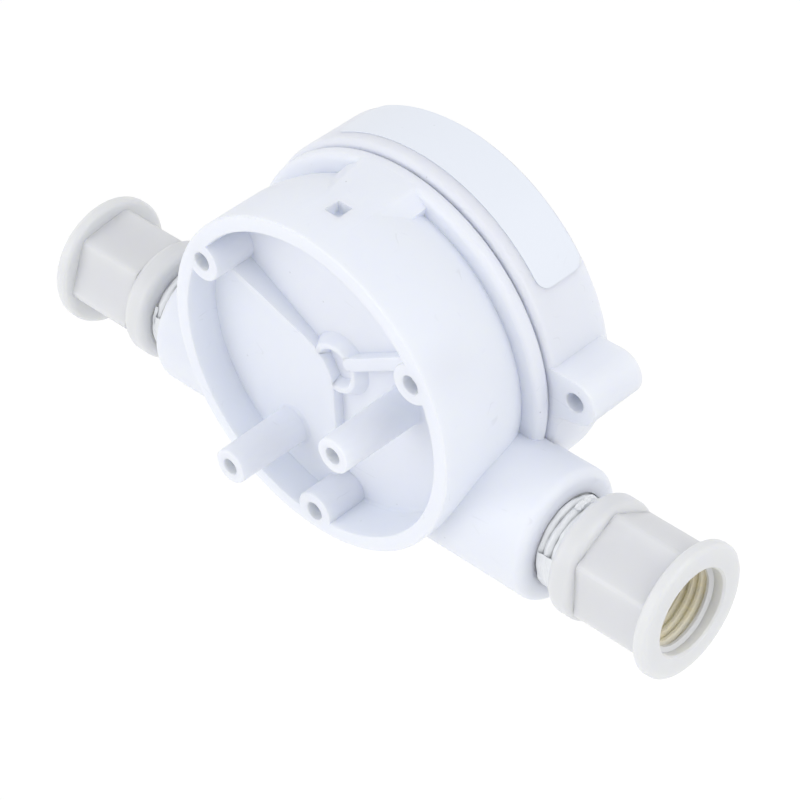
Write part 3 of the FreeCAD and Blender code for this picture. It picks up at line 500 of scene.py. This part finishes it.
def wound_tape(name):
    """White sealing film: creases along the winding, a waxy sheen and painted shade darkening the
    thread grooves.
    """
    material, tree, shader = new_material(name)
    place = add_node(tree, "ShaderNodeTexCoord", (-1300, 0))
    stretch = add_node(tree, "ShaderNodeMapping", (-1100, 0), Scale=(2200.0, 260.0, 260.0))
    tree.links.new(place.outputs["Object"], stretch.inputs["Vector"])
    crease = add_node(tree, "ShaderNodeTexNoise", (-850, 150), Scale=1.0, Detail=4.0, Roughness=0.6)
    tree.links.new(stretch.outputs["Vector"], crease.inputs["Vector"])
    tone = blend(tree, (-700, 250), crease.outputs["Fac"], (0.78, 0.80, 0.82), (0.92, 0.935, 0.96))
    axis = add_node(tree, "ShaderNodeGroup", (-1100, 450), node_tree=flow_axis_group())
    tree.links.new(place.outputs["Object"], axis.inputs["Vector"])
    # Painted shade: the film's colour is darkened down in the thread grooves, where shade falls,
    # patchy along the creases
    groove = map_range(tree, (-850, 450), axis.outputs["Reach"], 6.4 * MM, 6.58 * MM, 1.0, 0.0)
    uneven = map_range(tree, (-850, 700), crease.outputs["Fac"], 0.35, 0.65, 1.0, 0.2)
    painted_groove_shade = times(tree, (-650, 500), groove, uneven)
    # Dark grey of the painted groove shade
    tone = blend(tree, (-450, 250), painted_groove_shade, tone, (0.36, 0.375, 0.38))
    tree.links.new(tone, shader.inputs["Base Color"])
    rough = map_range(tree, (-500, 0), crease.outputs["Fac"], 0.3, 0.7, 0.2, 0.42)
    tree.links.new(rough, shader.inputs["Roughness"])
    bump = add_node(tree, "ShaderNodeBump", (-350, -250), Strength=0.5, Distance=0.05 * MM)
    tree.links.new(crease.outputs["Fac"], bump.inputs["Height"])
    tree.links.new(bump.outputs["Normal"], shader.inputs["Normal"])
    return material


def finish_piece(piece, body, material, slot, *nodes):
    """Give a piece its material and its body, and let it stand for CAD nodes; the slot is not used.
    """
    piece.data.materials.clear()
    piece.data.materials.append(material)
    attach(piece, body)
    if nodes:
        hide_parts(*nodes)
    return piece


def mesh_piece(name, shape):
    """Turn a bmesh into a linked object at the origin."""
    mesh = bpy.data.meshes.new(name)
    shape.to_mesh(mesh)
    shape.free()
    piece = bpy.data.objects.new(name, mesh)
    bpy.context.scene.collection.objects.link(piece)
    return piece


def shade_by_angle(shape, limit):
    """Shade smooth, with hard edges where faces meet more sharply than the limit."""
    for face in shape.faces:
        face.smooth = True
    for edge in shape.edges:
        edge.smooth = len(edge.link_faces) == 2 and edge.calc_face_angle(0.0) < limit


def from_flow_axis(point):
    """Give the step from the flow axis out to a point."""
    return Vector((0, point.y - FLOW_Y, point.z - FLOW_Z))


def from_ring_axis(point):
    """Give the step from the ring's axis out to a point."""
    return Vector((point.x, 0, point.z))


def face_outward(shape, step_out):
    """Turn the faces of a sheet away from the axis that a step leads out from."""
    bmesh.ops.recalc_face_normals(shape, faces=shape.faces[:])
    lean = 0.0
    for face in shape.faces:
        lean += face.normal.dot(step_out(face.calc_center_median())) * face.calc_area()
    if lean < 0:
        bmesh.ops.reverse_faces(shape, faces=shape.faces[:])


def at_level(height, *levels):
    """Tell whether a height is one of the named levels of the solids."""
    return any(abs(height - level) < PICK for level in levels)


def merged_copy(node, name, edge=0.0, wanted=None):
    """Copy a CAD node, merge its triangles, round the sharp edges a test picks and shade it."""
    shape = bmesh.new()
    shape.from_mesh(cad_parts[node].data)
    bmesh.ops.remove_doubles(shape, verts=shape.verts[:], dist=MERGE_GAP)
    if edge:
        bmesh.ops.dissolve_limit(shape, angle_limit=FLAT_ANGLE, verts=shape.verts[:],
                                 edges=shape.edges[:], use_dissolve_boundaries=False)
        sharp = [line for line in shape.edges
                 if line.is_convex and line.calc_face_angle(0.0) > SHARP_ANGLE
                 and all(wanted(math.hypot(vert.co.x, vert.co.z), vert.co.y) for vert in line.verts)]
        bmesh.ops.bevel(shape, geom=sharp, offset=edge, offset_type="OFFSET", segments=3,
                        profile=0.5, affect="EDGES", clamp_overlap=False, material=-1)
    shade_by_angle(shape, SMOOTH_ANGLE)
    piece = mesh_piece(name, shape)
    weighted = piece.modifiers.new("even_normals", "WEIGHTED_NORMAL")
    weighted.keep_sharp = True
    weighted.weight = 60
    return piece


class FLOWIND_OT_body(bpy.types.Operator):
    """Dress the moulded flow body"""
    bl_idname = "flow_indicator.body"
    bl_label = "Flow Body"

    def execute(self, context):
        look = context.scene.flow_plastic
        size = context.scene.flow_moulded
        body = merged_copy("flow_body", "body_moulding", size.edge, self.inside_rim)
        self.close_mouths(body, size.mouth)
        self.close_seam(body, size.seam)
        skin = moulded_plastic("body_plastic", look.body, 0.42, 0.25, marks=0.5, milky=0.6)
        finish_piece(body, "housing", skin, "body_plastic", "flow_body")
        return {"FINISHED"}

    def close_mouths(self, body, reach):
        """Draw the rim of each port's mouth in towards the tape."""
        for vertex in body.data.vertices:
            out = from_flow_axis(vertex.co)
            if at_level(abs(vertex.co.x), BODY_HIGH.x) and out.length < PORT_LEAD_REACH:
                vertex.co += out * (reach / out.length - 1)

    def close_seam(self, body, shift):
        """Draw the flange's front round towards the ring, so that the seam is a shallow groove."""
        for vertex in body.data.vertices:
            reach = math.hypot(vertex.co.x, vertex.co.z)
            on_round = FLANGE_FACE - PICK < vertex.co.y < FLANGE_SIDE
            if on_round and FLANGE_INNER < reach < FLANGE_OUTER:
                vertex.co.y -= shift * (FLANGE_SIDE - vertex.co.y) / (FLANGE_SIDE - FLANGE_FACE)

    def inside_rim(self, reach, height):
        """Pick the edges round the cavity's opening, on its step and on the ends of its posts."""
        return at_level(height, RIM_LEVEL, STEP_LEVEL, BODY_HIGH.y) and reach < OPENING_REACH


class FLOWIND_OT_ring(bpy.types.Operator):
    """Dress the twist-on front ring"""
    bl_idname = "flow_indicator.ring"
    bl_label = "Front Ring"

    def execute(self, context):
        look = context.scene.flow_plastic
        edge = context.scene.flow_moulded.edge
        ring = merged_copy("bezel_ring", "front_ring", edge, self.ears_and_window)
        skin = moulded_plastic("ring_plastic", look.body, 0.38, 0.25, marks=0.4, milky=0.6)
        finish_piece(ring, "bezel", skin, "ring_plastic", "bezel_ring")
        return {"FINISHED"}

    def ears_and_window(self, reach, height):
        """Pick the edges of the ears and of the window's opening."""
        on_ear = at_level(height, RING_HIGH.y, EAR_FRONT_LEVEL) and reach > EAR_REACH
        return on_ear or at_level(height, RING_LOW.y)


class FLOWIND_OT_label(bpy.types.Operator):
    """Wrap the bare label round the ring"""
    bl_idname = "flow_indicator.label"
    bl_label = "Bare Label"

    def execute(self, context):
        size = context.scene.flow_label
        length = size.sweep * size.radius
        width = LABEL_HIGH.y - LABEL_LOW.y
        shape = bmesh.new()
        bmesh.ops.create_grid(shape, x_segments=1, y_segments=1, size=0.5)
        bmesh.ops.scale(shape, vec=(length, width, 1), verts=shape.verts[:])
        bmesh.ops.bevel(shape, geom=shape.verts[:], offset=size.corner, offset_type="OFFSET",
                        segments=8, profile=0.5, affect="VERTICES", material=-1)
        for cut in range(1, LABEL_CUTS):
            bmesh.ops.bisect_plane(
                shape, geom=shape.verts[:] + shape.edges[:] + shape.faces[:],
                plane_co=((cut / LABEL_CUTS - 0.5) * length, 0, 0), plane_no=(1, 0, 0), dist=1e-7)
        middle = (LABEL_LOW.y + LABEL_HIGH.y) / 2
        reach = size.radius + size.clearance + size.thickness
        for vert in shape.verts:
            turn = size.centre - vert.co.x / size.radius
            vert.co = (reach * math.cos(turn), middle + vert.co.y, reach * math.sin(turn))
        face_outward(shape, from_ring_axis)
        bmesh.ops.solidify(shape, geom=shape.faces[:], thickness=size.thickness)
        shade_by_angle(shape, math.radians(40))
        label = mesh_piece("bare_label", shape)
        film = moulded_plastic("label_film", size.colour, 0.34, 0.1, drift=0.02, marks=0.2)
        finish_piece(label, "bezel", film, "label_film", "label")
        return {"FINISHED"}


class FLOWIND_OT_window(bpy.types.Operator):
    """Dress lens, seal, rotor and pin"""
    bl_idname = "flow_indicator.window"
    bl_label = "Window and Rotor"

    def execute(self, context):
        look = context.scene.flow_plastic
        lens = merged_copy("lens", "clear_lens")
        clear = clear_plastic("lens_clear", look.lens)
        finish_piece(lens, "housing", clear, "lens_clear", "lens")
        seal = merged_copy("lens_oring", "lens_seal")
        rubber = moulded_plastic("seal_rubber", look.seal, 0.6, 0.4)
        finish_piece(seal, "housing", rubber, "seal_rubber", "lens_oring")
        wheel = merged_copy("rotor", "paddle_wheel")
        nylon = moulded_plastic("rotor_plastic", look.rotor, 0.4, 0.3, drift=0.25)
        finish_piece(wheel, "wheel", nylon, "rotor_plastic", "rotor")
        pin = merged_copy("rotor_pin", "ceramic_pin")
        ceramic = moulded_plastic("pin_ceramic", look.pin, 0.22, 0.1)
        finish_piece(pin, "housing", ceramic, "pin_ceramic", "rotor_pin")
        return {"FINISHED"}


class FLOWIND_OT_adapters(bpy.types.Operator):
    """Dress both port adapters and cut their threads"""
    bl_idname = "flow_indicator.adapters"
    bl_label = "Port Adapters"

    def execute(self, context):
        look = context.scene.flow_plastic
        natural = natural_plastic("adapter_plastic", look.adapter, look.bore, milky=0.7)
        cut = natural_plastic("thread_plastic", look.adapter, look.bore)
        for side, node in ((1, "inlet_adapter"), (-1, "outlet_adapter")):
            adapter = merged_copy(node, node.replace("adapter", "port_adapter"))
            finish_piece(adapter, "housing", natural, "adapter_plastic", node)
            turns = self.thread_turns(context.scene.flow_thread, side)
            piece = mesh_piece(node.replace("adapter", "thread_turns"), turns)
            finish_piece(piece, "housing", cut, "adapter_plastic")
        return {"FINISHED"}

    def thread_turns(self, size, side):
        """Spin a thread ridge along the adapter's bore."""
        shape = bmesh.new()
        start = INLET_HIGH.x - size.setback
        buried = 0.05 * MM
        root_half, crest_half = 0.46 * size.pitch, 0.15 * size.pitch
        profile = (
            (start - root_half, size.major + buried),
            (start - crest_half, size.minor),
            (start + crest_half, size.minor),
            (start + root_half, size.major + buried),
        )
        verts = [shape.verts.new((side * along, FLOW_Y + reach, FLOW_Z)) for along, reach in profile]
        edges = [shape.edges.new(pair) for pair in zip(verts, verts[1:] + verts[:1])]
        steps = THREAD_STEPS * size.turns
        bmesh.ops.spin(
            shape, geom=verts + edges, cent=(0, FLOW_Y, FLOW_Z), axis=(1, 0, 0),
            dvec=(-side * size.pitch * size.turns / steps, 0, 0),
            angle=math.tau * size.turns * side, steps=steps, use_merge=False)
        rims = [edge for edge in shape.edges if edge.is_boundary]
        bmesh.ops.holes_fill(shape, edges=rims, sides=len(profile))
        bmesh.ops.recalc_face_normals(shape, faces=shape.faces[:])
        shade_by_angle(shape, math.radians(30))
        return shape


class FLOWIND_OT_tapes(bpy.types.Operator):
    """Wind the sealing tape on both male threads and let its ends hang loose"""
    bl_idname = "flow_indicator.tapes"
    bl_label = "Sealing Tape"

    def execute(self, context):
        size = context.scene.flow_tape
        pitch = context.scene.flow_thread.pitch
        white = wound_tape("seal_tape")
        for side, node in ((1, "inlet_tape"), (-1, "outlet_tape")):
            low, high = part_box(node)
            inner, outer = sorted((abs(low.x), abs(high.x)))
            reach = (high.z - low.z) / 2
            wound = self.winding(size, pitch, side, inner, outer, reach)
            piece = mesh_piece(node.replace("tape", "seal_tape"), wound)
            finish_piece(piece, "housing", white, "seal_tape", node)
            shown = (BODY_HIGH.x + outer) / 2
            room = outer - BODY_HIGH.x
            # Name, start and sweep in degrees, width, shift along the thread and lift of each end
            ends = (
                ("loose_end", 18, -84, 0.82 * room, 0.0, 0.8 * size.lift),
                ("torn_edge", 30, -62, 0.14 * room, 0.36 * room, 0.3 * size.lift),
                ("film_scrap", 84, 26, 0.3 * room, 0.05 * room, size.lift),
            )
            for name, start, sweep, wide, shift, lift in ends:
                film = self.film_end(size, side, shown + shift, reach, start, sweep, wide, lift)
                piece = mesh_piece(node.replace("tape", name), film)
                finish_piece(piece, "housing", white, "seal_tape")
        return {"FINISHED"}

    def winding(self, size, pitch, side, inner, outer, reach):
        """Spin the winding as a helix, with the thread showing through and folds in the film."""
        shape = bmesh.new()
        count = int((outer - inner) / pitch - 1) * RIDGE_STEPS
        verts = []
        for step in range(count + 1):
            along = outer - pitch - step * pitch / RIDGE_STEPS
            dip = size.ridge * (1 - abs(math.sin(math.pi * step / RIDGE_STEPS)))
            verts.append(shape.verts.new((side * along, FLOW_Y, FLOW_Z + reach - dip)))
        edges = [shape.edges.new(pair) for pair in zip(verts, verts[1:])]
        bmesh.ops.spin(
            shape, geom=verts + edges, cent=(0, FLOW_Y, FLOW_Z), axis=(1, 0, 0),
            dvec=(side * pitch / WINDING_STEPS, 0, 0), angle=math.tau, steps=WINDING_STEPS,
            use_merge=False)
        bmesh.ops.remove_doubles(shape, verts=shape.verts[:], dist=0.05 * MM)
        for vert in shape.verts:
            out = from_flow_axis(vert.co).normalized()
            fold = noise.noise(Vector((vert.co.x / pitch * 0.9, out.y * 4, out.z * 4)))
            vert.co += out * size.crumple * (fold + 0.1)
        face_outward(shape, from_flow_axis)
        bmesh.ops.solidify(shape, geom=shape.faces[:], thickness=size.film)
        shade_by_angle(shape, math.radians(50))
        return shape

    def film_end(self, size, side, middle, reach, start, sweep, wide, lift):
        """Bend a strip of film round the thread so that it lifts off towards its crumpled end."""
        shape = bmesh.new()
        bmesh.ops.create_grid(shape, x_segments=FILM_STEPS[0], y_segments=FILM_STEPS[1], size=0.5)
        for vert in shape.verts:
            share, across = vert.co.x + 0.5, vert.co.y
            turn = math.radians(start + sweep * share)
            fold = noise.noise(Vector((share * 6 + start, across * 3 + side, 0.5)))
            sway = noise.noise(Vector((share * 3, start, 2.5 * side)))
            stand = reach + size.film + lift * (0.35 + 0.65 * share) + 2 * size.crumple * fold
            along = middle + wide * (across * (1 - 0.35 * share) + 0.2 * sway)
            y, z = FLOW_Y + stand * math.cos(turn), FLOW_Z + stand * math.sin(turn)
            vert.co = (side * along, y, z)
        face_outward(shape, from_flow_axis)
        bmesh.ops.solidify(shape, geom=shape.faces[:], thickness=size.film)
        shade_by_angle(shape, math.radians(60))
        return shape


class FLOWIND_OT_studio(bpy.types.Operator):
    """Set floor, light and camera"""
    bl_idname = "flow_indicator.studio"
    bl_label = "Studio"

    def execute(self, context):
        scene = context.scene
        look = scene.flow_studio
        scene.view_settings.view_transform = "Standard"
        shape = bmesh.new()
        bmesh.ops.create_grid(shape, x_segments=8, y_segments=8, size=look.floor_half)
        level = CAD_BOX[0][2] - look.floor_gap
        bmesh.ops.translate(shape, vec=(0, 0, level), verts=shape.verts[:])
        floor = mesh_piece("studio_floor", shape)
        floor.data.materials.append(self.floor_material())
        self.world(scene, look)
        self.lamp(scene, "key", look.key_place, look)
        self.lamp(scene, "side", look.side_place, look)
        camera = bpy.data.objects.new("photo_camera", bpy.data.cameras.new("photo_camera"))
        camera.data.lens = look.lens
        camera.data.sensor_width = 36.0
        camera.data.clip_start = 0.01
        camera.data.clip_end = 20.0
        camera.location = look.camera_place
        camera.rotation_euler = look.camera_turn
        scene.collection.objects.link(camera)
        scene.camera = camera
        return {"FINISHED"}

    def floor_material(self):
        """Pale matt floor, seen brighter far out, and clear when seen from below."""
        material, tree, shader = new_material("studio_floor")
        place = add_node(tree, "ShaderNodeTexCoord", (-900, 0))
        cloud = add_node(tree, "ShaderNodeTexNoise", (-650, 0), Scale=3.0, Detail=2.0)
        tree.links.new(place.outputs["Object"], cloud.inputs["Vector"])
        tone = blend(tree, (-350, 0), cloud.outputs["Fac"], (0.96, 0.96, 0.96), (0.98, 0.98, 0.98))
        tree.links.new(tone, shader.inputs["Base Color"])
        shader.inputs["Roughness"].default_value = 0.9
        shader.inputs["Specular IOR Level"].default_value = 0.1
        shader.inputs["Emission Color"].default_value = (1, 1, 1, 1)
        away = add_node(tree, "ShaderNodeVectorMath", (-650, -600), operation="LENGTH")
        tree.links.new(place.outputs["Object"], away.inputs[0])
        far = map_range(tree, (-450, -600), away.outputs["Value"], 0.3, 1.6, 0.1, 0.31)
        tree.links.new(times(tree, (-250, -400), far, background_rays(tree, -850, -350)),
                       shader.inputs["Emission Strength"])
        side = add_node(tree, "ShaderNodeNewGeometry", (-500, 400))
        see_through(tree, shader, side.outputs["Backfacing"])
        return material

    def world(self, scene, look):
        """Even white surroundings, plain white where camera, gloss and glass look at them."""
        world = bpy.data.worlds.new("studio_world")
        world.use_nodes = True
        tree = world.node_tree
        sky = tree.nodes["Background"]
        sky.inputs["Color"].default_value = (1, 1, 1, 1)
        seen = background_rays(tree, -900, 100)
        level = map_range(tree, (-300, 100), seen, 0.0, 1.0, look.ambient, 1.0)
        tree.links.new(level, sky.inputs["Strength"])
        scene.world = world

    def lamp(self, scene, name, place, look):
        """Add a square soft lamp aimed at the middle of the part."""
        data = bpy.data.lights.new(name, "AREA")
        data.shape = "SQUARE"
        data.size = look.lamp_side
        data.energy = look.key
        lamp = bpy.data.objects.new(name, data)
        lamp.location = place
        lamp.rotation_euler = (-Vector(place)).to_track_quat("-Z", "Y").to_euler()
        scene.collection.objects.link(lamp)


class FLOWIND_PT_panel(bpy.types.Panel):
    """Lists the pieces of the flow indicator."""
    bl_label = "Flow Indicator"
    bl_idname = "FLOWIND_PT_panel"
    bl_space_type = "VIEW_3D"
    bl_region_type = "UI"
    bl_category = "Flow Indicator"

    def draw(self, context):
        for operator in OPERATORS:
            self.layout.operator(operator.bl_idname)
        for group in GROUPS:
            settings = getattr(context.scene, group)
            box = self.layout.box()
            for key in settings.__annotations__:
                box.prop(settings, key)


GROUPS = {
    "flow_label": LabelShape,
    "flow_plastic": PlasticLook,
    "flow_moulded": MouldedShape,
    "flow_thread": ThreadShape,
    "flow_tape": TapeShape,
    "flow_studio": StudioLook,
}
OPERATORS = [
    FLOWIND_OT_body,
    FLOWIND_OT_ring,
    FLOWIND_OT_label,
    FLOWIND_OT_window,
    FLOWIND_OT_adapters,
    FLOWIND_OT_tapes,
    FLOWIND_OT_studio,
]


def register():
    for name, group in GROUPS.items():
        bpy.utils.register_class(group)
        setattr(bpy.types.Scene, name, bpy.props.PointerProperty(type=group))
    for operator in OPERATORS:
        bpy.utils.register_class(operator)
    bpy.utils.register_class(FLOWIND_PT_panel)


def unregister():
    bpy.utils.unregister_class(FLOWIND_PT_panel)
    for operator in reversed(OPERATORS):
        bpy.utils.unregister_class(operator)
    for name, group in GROUPS.items():
        delattr(bpy.types.Scene, name)
        bpy.utils.unregister_class(group)


def main():
    register()
    bpy.ops.flow_indicator.body()
    bpy.ops.flow_indicator.ring()
    bpy.ops.flow_indicator.label()
    bpy.ops.flow_indicator.window()
    bpy.ops.flow_indicator.adapters()
    bpy.ops.flow_indicator.tapes()
    bpy.ops.flow_indicator.studio()


if __name__ == "__main__":
    main()
